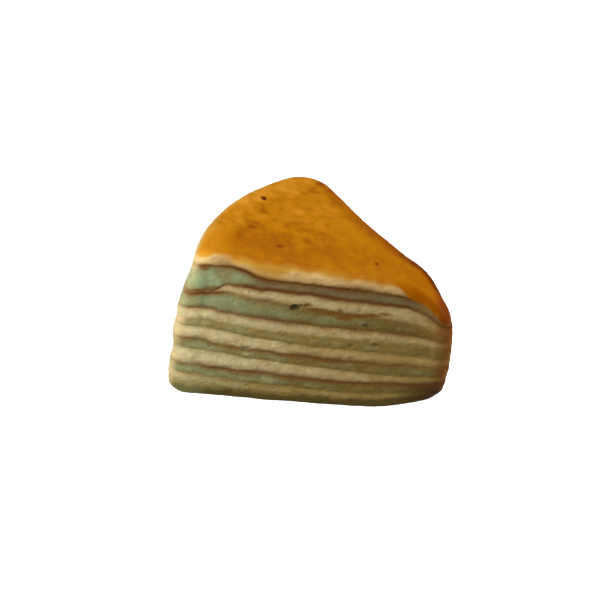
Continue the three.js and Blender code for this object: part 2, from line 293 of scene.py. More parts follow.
def lumps(points, size, seed):
    """Soft random lumps about one size across, from about -1 to 1.

    Each corner of a grid of cubes has a random slope, and the rises from the eight corners round a point
    are blended by smoothstep. The grid is turned, so that its rows follow none of the slice's sides.
    """
    scaled = points @ GRID_TURN / size
    cell = np.floor(scaled)
    offset = scaled - cell
    share = smooth(offset, 0, 1)
    total = np.zeros(points.shape[:-1])
    for corner in itertools.product((0, 1), repeat=3):
        weight = np.prod(np.where(corner, share, 1 - share), axis=-1)
        draws = [scatter(cell + corner, seed + 100 * axis) for axis in (1, 2, 3)]
        slope = 2 * np.stack(draws, axis=-1) - 1
        total += weight * np.sum(slope * (offset - corner), axis=-1)
    return LUMP_HEIGHT * total


def uneven(points, kinds):
    """Lumps of several kinds added up, each kind with its height, its size across and its seed."""
    return sum(height * lumps(points, size, seed) for height, size, seed in kinds)


def bubbles(points, spacing, radius, share, seed):
    """Depth of the hollows where a cut runs through round bubbles.

    A share of the cubes of a grid hold one bubble each, at a random place and of a random size. A point
    in a bubble lies as deep as the ball is there, the root of r^2 - d^2.
    """
    cell = np.floor(points / spacing)
    deepest = np.zeros(points.shape[:-1])
    for step in itertools.product((-1, 0, 1), repeat=3):
        near = cell + step
        centre = near + np.stack([scatter(near, seed + axis) for axis in (1, 2, 3)], axis=-1)
        size = radius * scatter(near, seed + 4) * (scatter(near, seed) < share)
        gap = np.sum((points - centre * spacing) ** 2, axis=-1)
        deepest = np.maximum(deepest, np.sqrt(np.clip(size**2 - gap, 0.0, None)))
    return deepest


def spots(along, height, places):
    """Round hollows or stains on the cut: strength * (1 - q^2) inside the ellipse q < 1 of each."""
    total = np.zeros(along.shape)
    for at, level, half_length, half_height, strength in places:
        square = ((along - at) / half_length) ** 2 + ((height - level) / half_height) ** 2
        total = np.maximum(total, strength * np.clip(1 - square, 0.0, 1.0))
    return total


def rim_to_tip(side, at_rim, in_middle, at_tip):
    """An amount given at the rim, in the middle and at the tip, blended evenly between them."""
    return np.interp(side.reach, SKIN_PLACES, [at_tip, in_middle, in_middle, at_rim])


# The browned skin between two layers shows as a line: its width, how much wider it is above the seam and
# in its faint halo, the core's share, and its strength, which fades on the rim
LINE_WIDTH = 0.72
LINE_UPWARDS = 1.35
LINE_HALO = 2.2
LINE_CORE = 0.72
LINE_STRENGTH = 0.95
LINE_FADING = 0.6
# How its height, width and strength vary along the seam: each as kinds of lumps
LINE_WANDERS = [(0.28, 7.0, 11), (0.168, 2.6, 14)]
LINE_WIDENS = [(0.35, 9.0, 12)]
LINE_STRENGTHENS = [(0.25, 13.0, 13)]
# How far batter blends across a seam, how much of that a browned skin stops, and how far the painted shade
# beside a seam reaches
BLEND_WIDTH = 1.30
BARRIER = 0.7
SEAM_SHADE_WIDTH = 1.4
GROOVE_WIDTH = 0.5
GROOVE_DEPTH = 0.14
# Where on the outline the rim's own skin starts, is whole, ends and is gone
RIM_SKIN_PLACES = (3.30, 3.90, 5.24, 5.56)


def seam_marks(side, order, height):
    """What a layer's two seams bring to its cut: browned lines, blended batter, painted shade and grooves.

    A line or a groove is exp(-d^2) over the distance from the seam, and the blend falls by smoothstep and is
    weaker across a browned skin. A line's height, width and strength wander along the seam, and it fades on
    the rim. Shade is painted near a seam, by exp(-d^2) too, and dulls the sponge there.
    """
    browned, blended, seam_shade, groove = np.zeros((4, *height.shape))
    fading = 1 - LINE_FADING * within(side.place, RIM_SKIN_PLACES)
    for seam in {order, order + 1} - {0, len(LAYERS)}:
        _, browning, _, _ = list(LAYERS.values())[seam - 1]
        skin = rim_to_tip(side, *browning)
        line = np.column_stack([side.foot, np.full(len(side.foot), CAKE_RADIUS * seam)])
        distance = height - side.seams[seam] + uneven(line, LINE_WANDERS)
        width = LINE_WIDTH * (1 + uneven(line, LINE_WIDENS)) * np.where(distance > 0, LINE_UPWARDS, 1.0)
        core = np.exp(-((distance / width) ** 2))
        halo = np.exp(-((distance / width / LINE_HALO) ** 2))
        strength = skin * fading * (LINE_STRENGTH + uneven(line, LINE_STRENGTHENS))
        browned = np.maximum(browned, strength * (LINE_CORE * core + (1 - LINE_CORE) * halo))
        inside = distance if seam == order else -distance
        across = (1 - BARRIER * skin) * (1 - smooth(inside, -BLEND_WIDTH, BLEND_WIDTH))
        blended = np.maximum(blended, across)
        seam_shade = np.maximum(seam_shade, np.exp(-((distance / SEAM_SHADE_WIDTH) ** 2)))
        groove += GROOVE_DEPTH * skin * np.exp(-((distance / GROOVE_WIDTH) ** 2))
    return browned, blended, seam_shade, groove


# Air pockets and torn crumb on the front cut: place along it, height, half length, half height, depth
POCKETS = [
    (29.3, 33.8, 2.0, 1.4, 1.20),
    (31.0, 34.6, 1.2, 0.8, 0.70),
    (33.0, 35.0, 1.4, 0.6, 0.35),
    (44.4, 34.3, 1.4, 0.7, 0.28),
    (16.0, 18.3, 1.8, 0.7, 0.45),
    (53.5, 29.4, 1.6, 0.9, 0.65),
    (57.7, 22.8, 1.3, 0.9, 0.45),
    (49.7, 21.9, 1.3, 0.8, 0.42),
    (50.5, 17.5, 1.6, 0.8, 0.30),
    (50.4, 34.6, 0.9, 0.6, 0.25),
    (39.0, 14.6, 1.5, 0.8, 0.22),
    (22.5, 8.4, 1.4, 0.7, 0.20),
]
# Pale clumps of crumb that stand out: the same, with their height
CLUMPS = [
    (16.4, 16.2, 1.8, 1.1, 0.30),
    (45.0, 21.7, 2.6, 1.7, 0.16),
    (26.0, 7.2, 3.4, 1.3, 0.12),
    (50.6, 15.2, 1.5, 0.8, 0.16),
    (46.0, 35.2, 4.5, 1.5, 0.14),
    (62.0, 26.0, 2.6, 1.0, 0.10),
]
# Crumb: how far a layer bulges between its seams, how much finer its lumps are upwards than along it,
# the lumps, and the bubbles that the knife cut open
LAYER_BULGE = 0.16
CRUMB_STRETCH = np.array([1.0, 1.0, 1.7])
CRUMB_LUMPS = [(0.11, 4.2, 21), (0.07, 1.6, 22)]
CRUMB_BITS = [(0.05, 0.7, 23)]
FINE_BUBBLES = {"spacing": 1.3, "radius": 0.34, "share": 0.30, "seed": 31}
LARGE_BUBBLES = {"spacing": 5.0, "radius": 0.6, "share": 0.15, "seed": 41}
BUBBLE_DEPTH = 0.8
# How far the base bulges, where along the front cut that starts and is whole, and how high it reaches
BASE_BULGE = {"front": 0.55, "tip": 0.0, "back": 0.5, "rim": 0.2}
BASE_BULGE_START = (8.0, 30.0)
BASE_BULGE_HEIGHT = 5.0
BASE_BULGE_LUMPS = [(1.0, 14.0, 25)]
# How far the rim stands out at heights, where batter crept past a lower layer or shrank from the tin
RIM_HEIGHTS = [0.0, 7.0, 11.6, 12.6, 20.0, 26.0, 30.0, 37.0, 42.5, 46.0]
RIM_STANDS_OUT = [0.20, 0.40, 0.10, -0.45, 0.65, 0.30, 0.80, -0.10, -0.40, 0.00]
RIM_WANDERS = [(1.5, 20.0, 24)]
RIM_WANDER_END = (4.7, 5.2)
# How dark the shade is that is painted into the cut bubbles and air pockets
HOLLOW_SHADE = 0.9


def cut_relief(side, order, height, groove):
    """How far a layer's cut crumb stands out, and how much shade is painted into its hollows.

    It is a bulge of 4v(1-v) over the layer, soft lumps of three sizes, clumps of crumb, and how far the
    rim and the base stand out there, less the grooves, the cut bubbles and the air pockets.
    """
    points = side.points(height, np.zeros(height.shape))
    along = np.broadcast_to(side.along, height.shape)
    low, high = side.seams[order], side.seams[order + 1]
    share = (height - low) / (high - low)
    rough = uneven(points * CRUMB_STRETCH, CRUMB_LUMPS) + uneven(points, CRUMB_BITS)
    outline = np.column_stack([side.foot, side.place])
    wander = uneven(outline, RIM_WANDERS) * (1 - smooth(side.place, *RIM_WANDER_END))
    stands_out = np.interp(height + wander, RIM_HEIGHTS, RIM_STANDS_OUT)
    stands_out = stands_out * within(side.place, RIM_SKIN_PLACES)
    bulge = around_sides(side.place, BASE_BULGE) * smooth(side.along, *BASE_BULGE_START)
    bulge = bulge * (1 - smooth(height, 0.0, BASE_BULGE_HEIGHT)) * (1 + uneven(points, BASE_BULGE_LUMPS))
    push = LAYER_BULGE * 4 * share * (1 - share) + stands_out + bulge + spots(along, height, CLUMPS)
    holes = bubbles(points, **FINE_BUBBLES) + bubbles(points, **LARGE_BUBBLES)
    pockets = spots(along, height, POCKETS)
    push = push + rough - groove - BUBBLE_DEPTH * holes - pockets
    return push, HOLLOW_SHADE * (holes + pockets)


# Patches where the browned skin between two layers is broader, and where it was dragged over the cut:
# place along the front cut, height, half length, half height, and how brown it is
BROWNINGS = [
    (66.0, 40.2, 3.0, 1.8, 0.90),
    (32.0, 34.2, 2.4, 0.9, 0.70),
    (-3.0, 36.9, 2.6, 0.9, 0.50),
]
STAINS = [
    (3.8, 43.8, 4.4, 3.2, 0.42),
    (-3.6, 45.4, 2.8, 1.6, 0.85),
    (-4.4, 43.4, 3.4, 2.2, 0.28),
    (-5.0, 34.0, 4.2, 2.8, 0.24),
    (-6.5, 35.6, 2.6, 1.7, 0.75),
    (-3.0, 36.9, 3.2, 1.2, 0.75),
    (1.6, 38.4, 3.4, 1.3, 0.75),
    (2.8, 37.1, 3.6, 1.1, 0.70),
    # The next patch only makes the sponge darker just under the top edge, near the front corner
    (3.0, 48.4, 4.6, 2.4, 0.50),
    (20.0, 35.6, 4.5, 1.1, 0.45),
    (33.0, 35.2, 2.2, 1.0, 0.90),
    (37.0, 33.6, 4.2, 1.1, 0.85),
    (41.5, 32.9, 4.2, 1.3, 0.95),
    (44.2, 33.7, 1.6, 0.9, 0.80),
    (46.2, 32.0, 4.4, 1.7, 1.00),
    (50.8, 32.6, 3.6, 1.1, 0.90),
    (54.8, 33.4, 4.0, 0.9, 0.95),
    (59.0, 34.1, 3.4, 0.8, 0.85),
]
# How far the painted shade near a seam dulls the sponge, and the patches and streaks in its freshness and
# blend
SEAM_SHADE_LOSS = 0.35
STREAK_STRETCH = np.array([0.4, 0.4, 1.0])
FRESH_PATCHES = [(0.15, 7.0, 61)]
FRESH_STREAKS = [(0.16, 1.9, 63)]
BLEND_PATCHES = [(0.08, 2.5, 62)]
# Sponge that the grill's heat turned grey, close under the top, and the distances where that ends
GREYED_LAYERS = {"pandan_6": 0.62}
GREYED_END = (0.70, 0.87)
GREYED_PATCHES = [(0.5, 5.0, 64)]
# How pale the skin is that formed against the tin, at heights on the rim; the paleness is partly painted
# light on the rim, which faces the key light
TIN_HEIGHTS = [0.0, 18.0, 21.0, 27.0, 33.0, 42.0, 44.5, 50.0]
TIN_SKIN_AND_LIGHT = [0.75, 0.55, 0.80, 0.80, 0.20, 0.25, 0.75, 0.80]
TIN_STREAKS = [(0.3, 2.2, 54)]
# Where the tip is toasted on the outline, low down and high up, and the heights between the two. The brown
# is partly toasting and partly painted shade of the tip's end, which turns away from the key light.
TOASTED_AND_SHADED_LOW = 0.65
TOASTED_LOW_PLACES = (1.05, 1.40, 1.75, 2.20)
TOASTED_HIGH_PLACES = (0.84, 1.18, 1.75, 2.20)
TOASTED_HEIGHTS = (25.0, 31.0)
TOASTED_PATCHES = [(0.4, 6.0, 51)]
# The heights over which the dark crust of the base ends, and how far it fades on the rim and in the front
# corner, which starts and is whole at these distances. The crust is made darker as painted shade along the
# bottom edge.
BASE_SKIN_END = (1.5, 3.8)
BASE_SKIN_PATCHES = [(0.5, 4.0, 53)]
BASE_RIM_FADING = 0.6
BASE_CORNER_FADING = 0.4
BASE_CORNER = (0.84, 0.93)
# How far the scorched foot of the tip reaches from the cake's centre, and up the side. Its darkness is
# partly painted shade of the tip's low corner, turned from the light.
SCORCHED_AND_SHADED_REACH = (0.09, 0.27)
SCORCHED_AND_SHADED_RISE = (0.10, 0.28)


def cut_colours(side, order, height, marks, hollow_shade):
    """The amounts from 0 to 1 that the colour of a layer's cut follows, one for each finish of sponge.

    They are the layer's own amounts from rim to tip, the marks of its seams, the spots on the cut and the
    zones of tin skin, base crust and toasted tip, most of them roughened by lumps. Painted light and shade
    are part of several: the freshness falling to the tip, the pale rim, the toasted tip, the base crust and
    its scorched end, and the shade near seams and in hollows.
    """
    browned, blended, seam_shade = marks
    name = list(LAYERS)[order]
    _, _, fresh_and_lit_rim_to_tip, other_batter = LAYERS[name]
    points = side.points(height, np.zeros(height.shape))
    flat = points * CRUMB_STRETCH
    streaks = points * STREAK_STRETCH
    along = np.broadcast_to(side.along, height.shape)
    clumps = spots(along, height, CLUMPS)
    # Freshness falls towards the tip, partly as painted shade of the end that turns away from the key light
    fresh_and_lit = np.interp(side.reach, FRESH_PLACES, fresh_and_lit_rim_to_tip[::-1]) - SEAM_SHADE_LOSS * seam_shade
    fresh_and_lit = fresh_and_lit + uneven(flat, FRESH_PATCHES) + uneven(streaks, FRESH_STREAKS) + clumps
    other = rim_to_tip(side, *other_batter) + clumps
    greyed = GREYED_LAYERS.get(name, 0.0) * (1 - smooth(side.reach, *GREYED_END))
    on_rim = within(side.place, RIM_SKIN_PLACES)
    tin_skin_and_light = on_rim * np.interp(height, TIN_HEIGHTS, TIN_SKIN_AND_LIGHT)
    toasted_and_shaded_low = TOASTED_AND_SHADED_LOW * within(side.place, TOASTED_LOW_PLACES)
    toasted_and_shaded_high = within(side.place, TOASTED_HIGH_PLACES)
    toasted_and_shaded = toasted_and_shaded_low + (toasted_and_shaded_high - toasted_and_shaded_low) * smooth(height, *TOASTED_HEIGHTS)
    # The dark crust of the base, deepened by painted shade along the bottom edge
    base = 1 - smooth(height - side.seams[0] + uneven(points, BASE_SKIN_PATCHES), *BASE_SKIN_END)
    base = base * (1 - BASE_RIM_FADING * on_rim)
    base = base * (1 - BASE_CORNER_FADING * smooth(side.reach, *BASE_CORNER))
    rise = (height - side.seams[0]) / (side.seams[-1] - side.seams[0])
    amounts = {
        "fresh_and_lit": fresh_and_lit,
        "blended": np.maximum(blended, other) + uneven(flat, BLEND_PATCHES),
        "greyed": greyed * (1 + uneven(flat, GREYED_PATCHES)),
        "rim_skin_and_light": tin_skin_and_light * (1 + uneven(streaks, TIN_STREAKS)),
        "stained": spots(along, height, STAINS),
        "toasted_and_shaded": toasted_and_shaded * (1 + uneven(points, TOASTED_PATCHES)),
        "browned": np.maximum(browned, spots(along, height, BROWNINGS)),
        "base": base,
        "scorched_and_shaded": (1 - smooth(side.reach, *SCORCHED_AND_SHADED_REACH)) * (1 - smooth(rise, *SCORCHED_AND_SHADED_RISE)),
        "hollow_shade": hollow_shade,
    }
    return {finish: np.clip(amount, 0.0, 1.0) for finish, amount in amounts.items()}


def crumb(side, order, height):
    """The push outwards of a layer's cut crumb, and the amounts that its colour follows."""
    *marks, groove = seam_marks(side, order, height)
    push, hollow_shade = cut_relief(side, order, height, groove)
    return push, cut_colours(side, order, height, marks, hollow_shade)


def seam_surface(ring, seam, shares, rise):
    """Rings on a seam inside the slice, at shares of the way from the slice's middle to a ring."""
    plan = SLICE_MIDDLE + (ring[None, :, :2] - SLICE_MIDDLE) * np.array(shares)[:, None, None]
    x, y = plan[..., 0], plan[..., 1]
    height = level_height(seam_shares(x, y)[seam], x, y) + rise
    return np.concatenate([plan, height[..., None]], axis=-1)


def closed_skin(name, rings, amounts):
    """A closed mesh over rings of points, from the middle of the underside round to the middle on top.

    Quads join neighbouring rings, and a fan of triangles closes each end at the mean of its ring. Each
    amount becomes an attribute of the points.
    """
    around = rings.shape[1]
    index = np.arange(rings.shape[0] * around).reshape(-1, around)
    ahead = np.roll(index, -1, axis=1)
    quads = np.stack([index[:-1], ahead[:-1], ahead[1:], index[1:]], axis=-1).reshape(-1, 4)
    ends = np.full((2, around), [[index.size], [index.size + 1]])
    under = np.stack([ahead[0], index[0], ends[0]], axis=-1)
    over = np.stack([index[-1], ahead[-1], ends[1]], axis=-1)

    def with_ends(values):
        ends_of = np.stack([values[0].mean(axis=0), values[-1].mean(axis=0)])
        return np.concatenate([values.reshape(-1, *values.shape[2:]), ends_of])

    mesh = bpy.data.meshes.new(name)
    points = (with_ends(rings) + CAKE_CENTRE) * MM
    mesh.from_pydata(points, [], [*quads.tolist(), *under.tolist(), *over.tolist()])
    mesh.shade_smooth()
    for amount, values in amounts.items():
        attribute = mesh.attributes.new(amount, "FLOAT", "POINT")
        attribute.data.foreach_set("value", with_ends(values).astype(np.float32))
    piece = bpy.data.objects.new(name, mesh)
    bpy.context.scene.collection.objects.link(piece)
    return piece


# Half the gap that keeps two layers apart, and the rings on the seams, as shares of the way to the cut
HALF_GAP = 0.01
BASE_RINGS = [0.02, 0.3, 0.55, 0.75, 0.88, 0.96]
SEAM_RINGS = [0.02, 0.5]


def poured_layer(name, side, levels):
    """One layer of sponge: its cut wall, and the seams below and above it that close it."""
    order = list(LAYERS).index(name)
    rise, rings_below = (HALF_GAP, SEAM_RINGS) if order else (0.0, BASE_RINGS)
    low = side.seams[order] + rise
    high = side.seams[order + 1] - HALF_GAP
    height = low + (high - low) * levels[:, None]
    push, amounts = crumb(side, order, height)
    wall = side.points(height, push)
    under = seam_surface(wall[0], order, rings_below, rise)
    over = seam_surface(wall[-1], order + 1, SEAM_RINGS[::-1], -HALF_GAP)
    rings = np.concatenate([under, wall, over])
    padding = ((len(under), len(over)), (0, 0))
    amounts = {finish: np.pad(amount, padding, mode="edge") for finish, amount in amounts.items()}
    return closed_skin(name + "_sponge", rings, amounts)


def linear(colour):
    """An sRGB hex colour as linear red, green, blue and alpha."""
    parts = np.array([int(colour[at : at + 2], 16) / 255 for at in (1, 3, 5)])
    parts = np.where(parts <= 0.04045, parts / 12.92, ((parts + 0.055) / 1.055) ** 2.4)
    return (*parts.tolist(), 1.0)


def add(tree, kind, inputs, **settings):
    """Adds a node with its settings, and gives each input a value or a link from another node."""
    made = tree.nodes.new("ShaderNode" + kind)
    for name, value in settings.items():
        setattr(made, name, value)
    for name, value in inputs.items():
        if isinstance(value, bpy.types.NodeSocket):
            tree.links.new(value, made.inputs[name])
        else:
            made.inputs[name].default_value = value
    return made


# A colour Mix node's sockets, by number because their names repeat
FACTOR, FIRST, SECOND, RESULT = 0, 6, 7, 2
PANDAN_BATTER = {"dull_and_shaded": "#70612d", "fresh_and_lit": "#8c9d75"}
CREAM_BATTER = {"dull_and_shaded": "#a58b52", "fresh_and_lit": "#c3b88e"}
# What lies over the batter's own colour, in this order: sponge greyed by heat, pale skin from the tin with
# painted light, stained, toasted and browned skin, with painted shade in the toasting of the tip, the crust
# of the base and its scorched end, both deepened by painted shade, and the shade painted in hollows
FINISHES = {
    "greyed": "#706549",
    "rim_skin_and_light": "#d2bf8e",
    "stained": "#70490b",
    "toasted_and_shaded": "#845010",
    "browned": "#613b12",
    "base": "#4b4018",
    "scorched_and_shaded": "#3f2606",
    "hollow_shade": "#35330c",
}
# Mottles and grains of crumb, by their size, and how much lighter and darker than the rest they are
MOTTLES = {"Scale": 1 / (2.4 * MM), "Detail": 4.0, "Roughness": 0.6}
MOTTLE_CONTRAST = 0.16
GRAINS = {"Scale": 1 / (0.8 * MM), "Detail": 2.0}
GRAIN_CONTRAST = 0.07


def crumb_colour(tree, own, other):
    """The sponge's colour, from its own batter and the other one, and the height of its fine grains.

    Each batter goes from dull to fresh, and the dull end also serves as painted shade towards the tip. The
    two are blended and mottled like crumb, and each finish lies over the ones before it by its own amount.
    """
    place = add(tree, "TexCoord", {}).outputs["Object"]
    mottles = add(tree, "TexNoise", {"Vector": place, **MOTTLES}).outputs["Fac"]
    grains = add(tree, "TexNoise", {"Vector": place, **GRAINS}).outputs["Fac"]
    fresh_and_lit = add(tree, "Attribute", {}, attribute_name="fresh_and_lit").outputs["Fac"]
    batters = []
    for batter in (own, other):
        tones = {FACTOR: fresh_and_lit, FIRST: linear(batter["dull_and_shaded"]), SECOND: linear(batter["fresh_and_lit"])}
        batters.append(add(tree, "Mix", tones, data_type="RGBA").outputs[RESULT])
    blended = add(tree, "Attribute", {}, attribute_name="blended").outputs["Fac"]
    tones = {FACTOR: blended, FIRST: batters[0], SECOND: batters[1]}
    colour = add(tree, "Mix", tones, data_type="RGBA").outputs[RESULT]
    for noise, contrast in ((mottles, MOTTLE_CONTRAST), (grains, GRAIN_CONTRAST)):
        span = {"From Min": 0.3, "From Max": 0.7, "To Min": 1 - contrast, "To Max": 1 + contrast}
        shade = add(tree, "MapRange", {"Value": noise, **span}).outputs["Result"]
        tones = {FACTOR: 1.0, FIRST: colour, SECOND: shade}
        colour = add(tree, "Mix", tones, data_type="RGBA", blend_type="MULTIPLY").outputs[RESULT]
    for finish, tone in FINISHES.items():
        amount = add(tree, "Attribute", {}, attribute_name=finish).outputs["Fac"]
        tones = {FACTOR: amount, FIRST: colour, SECOND: linear(tone)}
        colour = add(tree, "Mix", tones, data_type="RGBA").outputs[RESULT]
    return colour, grains


def sponge(name, own, other):
    """Baked sponge, cut with a knife: matt and dense, with fine open crumb and a little light in it."""
    material = bpy.data.materials.new(name)
    material.use_nodes = True
    tree = material.node_tree
    tree.nodes.clear()
    colour, grains = crumb_colour(tree, own, other)
    bump = add(tree, "Bump", {"Height": grains, "Strength": 0.35, "Distance": 0.25 * MM})
    inputs = {
        "Base Color": colour,
        "Roughness": 0.8,
        "IOR": 1.4,
        "Specular IOR Level": 0.25,
        "Subsurface Weight": 0.15,
        "Subsurface Scale": 1.2 * MM,
        "Subsurface Radius": (1.0, 0.7, 0.35),
        "Normal": bump.outputs["Normal"],
    }
    shader = add(tree, "BsdfPrincipled", inputs)
    add(tree, "OutputMaterial", {"Surface": shader.outputs["BSDF"]})
    return material


# Spacing of the points along the cut, and the rows up each layer's wall, which crowd towards its seams
CUT_STEP = 0.24
WALL_ROWS = 23
ROW_CROWDING = 0.4
cut_side = Side(CUT_STEP)
even_levels = np.linspace(0.0, 1.0, WALL_ROWS)
wall_levels = (1 - ROW_CROWDING) * even_levels + ROW_CROWDING * smooth(even_levels, 0.0, 1.0)

pandan_sponge = sponge("pandan sponge", PANDAN_BATTER, CREAM_BATTER)
for name in LAYERS:
    if name.startswith("pandan"):
        layer = poured_layer(name, cut_side, wall_levels)
        layer.data.materials.append(pandan_sponge)
        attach(layer, "root")
        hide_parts(name)

# Cream layers
# Five layers of plain butter sponge batter between the green ones, pale where it is moist and more golden
# towards the tip, where part of the darker colour is painted shade. They were poured, baked and cut in the
# same way, and their crumb is as fine.

cream_sponge = sponge("cream sponge", CREAM_BATTER, PANDAN_BATTER)
for name in LAYERS:
    if name.startswith("cream") and name != "cream_6":
        layer = poured_layer(name, cut_side, wall_levels)
        layer.data.materials.append(cream_sponge)
        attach(layer, "root")
        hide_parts(name)

# Browned top
# The last layer of cream batter, whose upper skin took the full heat of the grill and set to a thin golden
# crust. The crust curls over the edges, and pale sponge shows below it on the cuts.

# How far below the top edge the crust is whole, where its golden wash ends, and how golden the wash is:
# round the sides, and along the front cut
CRUST_WHOLE = {"front": 1.6, "tip": 2.8, "back": 1.4, "rim": 0.9}
CRUST_WASH = {"front": 5.0, "tip": 6.0, "back": 3.6, "rim": 3.0}
CRUST_GOLD = {"front": 0.0, "tip": 0.0, "back": 0.0, "rim": 0.7}
FRONT_PLACES = [-8.8, 0.0, 5.0, 9.0, 13.0, 16.0, 22.0, 26.0, 40.0, 58.0, 62.0, 65.0, 68.0, 71.0, 73.0, 76.0]
FRONT_WHOLE = [0.8, 0.0, 0.2, 0.4, 1.2, 2.0, 2.0, 0.2, 0.6, 0.4, 1.0, 2.6, 3.0, 2.6, 2.4, 2.8]
FRONT_WASH = [2.8, 1.4, 2.3, 3.4, 5.0, 6.6, 6.4, 3.2, 2.8, 2.0, 2.8, 4.2, 4.6, 4.4, 4.8, 6.0]
FRONT_GOLD = [0.8, 0.8, 0.8, 0.9, 0.9, 0.8, 0.8, 0.9, 0.6, 0.3, 0.0, 0.0, 0.0, 0.0, 0.0, 0.0]
CRUST_EDGE_LUMPS = [(0.6, 4.5, 71), (0.18, 1.5, 72)]


def crust_edge(side, height):
    """How whole the crust is on the side, and how golden.

    It is 1 - smoothstep from the depth where the crust is whole to the depth where its wash ends.
    """
    points = side.points(height, np.zeros(height.shape))
    front = (side.along > FRONT_PLACES[0]) & (side.along < FRONT_PLACES[-1])
    pairs = ((CRUST_WHOLE, FRONT_WHOLE), (CRUST_WASH, FRONT_WASH), (CRUST_GOLD, FRONT_GOLD))
    amounts = []
    for on_sides, on_front in pairs:
        along_front = np.interp(side.along, FRONT_PLACES, on_front)
        amounts.append(np.where(front, along_front, around_sides(side.place, on_sides)))
    whole, wash, gold = amounts
    depth = side.seams[-1] - height + uneven(points, CRUST_EDGE_LUMPS)
    return 1 - smooth(depth, whole, wash), gold


# A burst bubble in the crust: place from the cake's centre, and size
PIT_PLACE = np.array([-68.6, 45.5])
PIT_TURN = math.radians(-78)
PIT_HALF_SIZE = np.array([2.1, 1.25])
PIT_DEPTH = 0.22
# The crust's swells, which are longer to the back than across, and how far they lift it
CRUST_STRETCH = np.array([1.0, 0.8, 0.0])
CRUST_SWELLS = [(0.24, 11.0, 81), (0.13, 4.0, 82), (0.03, 1.3, 84)]
CRUST_RISE = 0.1
# Its creases: depth, sharpness, strength, the patches where they come and go, and their share at the front,
# which ends over these distances from the front cut
CREASES = [(1.0, 3.0, 83)]
CREASE_DEPTH = 0.06
CREASE_POWER = 4
CREASE_STRENGTH = 0.35
CREASE_PATCHES = [(0.8, 9.0, 85)]
CREASES_AT_FRONT = 0.2
CREASES_BEHIND = (8.0, 26.0)


def pit(points):
    """A burst bubble in the crust: 1 - q^4 inside a turned ellipse q < 1."""
    sine, cosine = math.sin(PIT_TURN), math.cos(PIT_TURN)
    turned = (points[..., :2] - PIT_PLACE) @ np.array([[cosine, -sine], [sine, cosine]])
    square = np.sum((turned / PIT_HALF_SIZE) ** 2, axis=-1)
    return np.clip(1 - square**2, 0.0, 1.0)


def wrinkles(points):
    """Crumpled skin: creases (1 - |n|)^4 along the zero lines of lumps.

    They come and go over the top, and are few near the front cut.
    """
    flat = points * CRUST_STRETCH
    creases = (1 - np.clip(np.abs(uneven(flat, CREASES)), 0.0, 1.0)) ** CREASE_POWER
    strength = np.clip(CREASE_STRENGTH + uneven(flat, CREASE_PATCHES), 0.0, 1.0)
    behind = smooth(points[..., 1], *CREASES_BEHIND)
    return creases * strength * (CREASES_AT_FRONT + (1 - CREASES_AT_FRONT) * behind)


def crust_relief(points):
    """Height of the crust's own unevenness: broad swells, less the creases and the pit."""
    swell = uneven(points * CRUST_STRETCH, CRUST_SWELLS)
    return swell - CREASE_DEPTH * wrinkles(points) - PIT_DEPTH * pit(points) + CRUST_RISE


# How deeply the crust is baked, from pale gold at 0 to dark brown at 1: all over, then how much paler or
# deeper it is in each zone and where, with x to the tip and y to the back from the cake's centre
BAKED = 0.46
RIM_PALER = 0.30
RIM_PALER_REACH = (0.81, 0.90)
RIM_HALF_DEEPER = 0.06
RIM_HALF_END = (-62.0, -46.0)
FRONT_DEEPER = 0.08
FRONT_DEEPER_PLACES = (2.0, 14.0, 14.0, 30.0)
BACK_PALER = 0.12
BACK_PALER_START = (26.0, 44.0)
# Painted shade that darkens the crust's creases
CREASE_SHADE = 0.11
# How much darker the pit is: partly its deeper baked skin, partly painted shade in the hollow
PIT_SKIN_AND_SHADE = 0.85
# Mottles of three sizes, and how strong they are where the skin is even and where it is crumpled
CRUST_MOTTLES = [(0.06, 8.0, 91), (0.12, 3.6, 95), (0.07, 1.6, 93)]
EVEN_MOTTLED = 0.45
CRUMPLED_MOTTLED = 1.55
CRUMPLED_START = (12.0, 30.0)
CRUMPLED_END = (-52.0, -38.0)
# Marks on the crust: place from the cake's centre, half length and half width, and strength
SCORCHES = [
    (-56.3, 58.8, 3.0, 3.0, 0.10),
    (-44.6, 47.6, 3.5, 3.0, 0.10),
    (-73.1, 32.4, 2.5, 2.0, 0.16),
    (-72.4, 24.5, 2.0, 1.5, 0.20),
    (-63.3, 14.6, 1.8, 1.8, 0.22),
    (-32.1, 13.1, 0.9, 1.2, 0.40),
]


def baking(points):
    """How deeply the crust is baked: each zone's share by smoothstep, added up.

    The crust is palest beside the rim and paler at the back, and deeper along the front cut and in the half
    towards the rim. Lumps mottle it, most where the skin is crumpled, behind the middle. Shade is painted
    into its creases, and into its pit along with the pit's darker skin.
    """
    x, y = points[..., 0], points[..., 1]
    crumpled = smooth(y, *CRUMPLED_START) * (1 - smooth(x, *CRUMPLED_END))
    mottled = EVEN_MOTTLED + (CRUMPLED_MOTTLED - EVEN_MOTTLED) * crumpled
    baked = BAKED + mottled * uneven(points * CRUST_STRETCH, CRUST_MOTTLES)
    baked = baked - RIM_PALER * smooth(np.hypot(x, y) / CAKE_RADIUS, *RIM_PALER_REACH)
    baked = baked + RIM_HALF_DEEPER * (1 - smooth(x, *RIM_HALF_END))
    baked = baked + FRONT_DEEPER * within(y, FRONT_DEEPER_PLACES)
    baked = baked - BACK_PALER * smooth(y, *BACK_PALER_START)
    baked = baked + CREASE_SHADE * wrinkles(points) + PIT_SKIN_AND_SHADE * pit(points)
    return baked + spots(x, y, SCORCHES)


